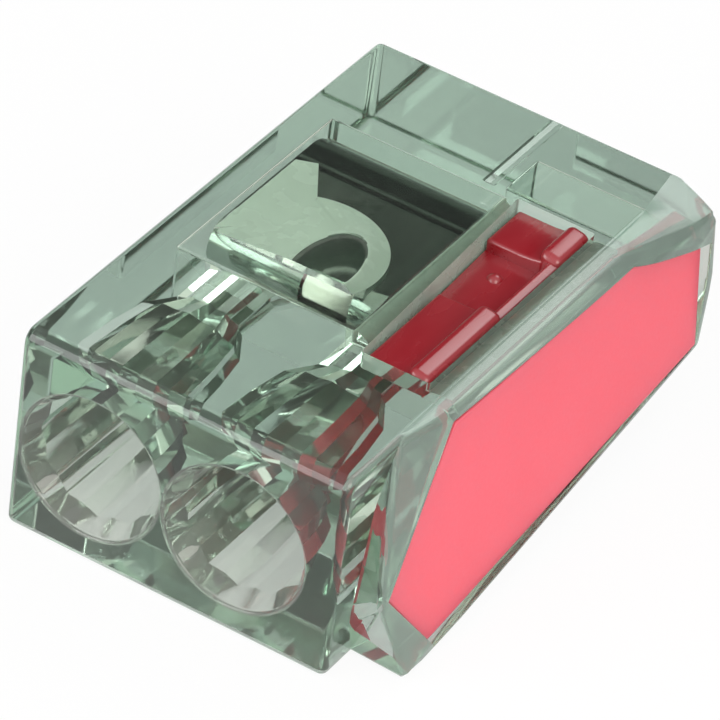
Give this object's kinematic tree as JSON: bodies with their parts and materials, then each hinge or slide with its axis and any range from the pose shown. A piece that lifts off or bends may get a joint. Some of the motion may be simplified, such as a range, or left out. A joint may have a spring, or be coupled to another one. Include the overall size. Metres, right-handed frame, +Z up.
{
  "type": "push-in wire connector",
  "caption": "Clear box-shaped push-in wire connector with round funnel ports, a red snap-in side cap, a tinned busbar and sprung leaves that clamp bare conductors.",
  "frame": {"origin": "centre of the bounding box, on the flat underside", "axes": "+X towards the side cap, +Y from the wire ports to the back, +Z up from the underside to the latch window"},
  "size_m": [0.0122, 0.0178, 0.0066],
  "materials": {
    "clear_plastic": "clear grey-green, polished",
    "red_plastic": "satin red",
    "tinned_copper": "bright tin plate",
    "spring_steel": "rolled, dark"
  },
  "bodies": {
    "connector": {"housing": "clear_plastic", "side_cap": "red_plastic", "busbar": "tinned_copper", "spring_base": "spring_steel"},
    "left_leaf": {"spring_leaf_left": "spring_steel"},
    "right_leaf": {"spring_leaf_right": "spring_steel"}
  },
  "joints": [
    {"name": "left_clamp", "type": "hinge", "parent": "connector", "child": "left_leaf", "pos_m": [-0.00358, -0.00104, 0.00442], "axis": [1, 0, 0], "range_deg": [0, 31], "stiffness_Nm_per_rad": 0.02},
    {"name": "right_clamp", "type": "hinge", "parent": "connector", "child": "right_leaf", "pos_m": [0.00102, -0.00104, 0.00442], "axis": [1, 0, 0], "range_deg": [0, 31], "stiffness_Nm_per_rad": 0.02}
  ]
}
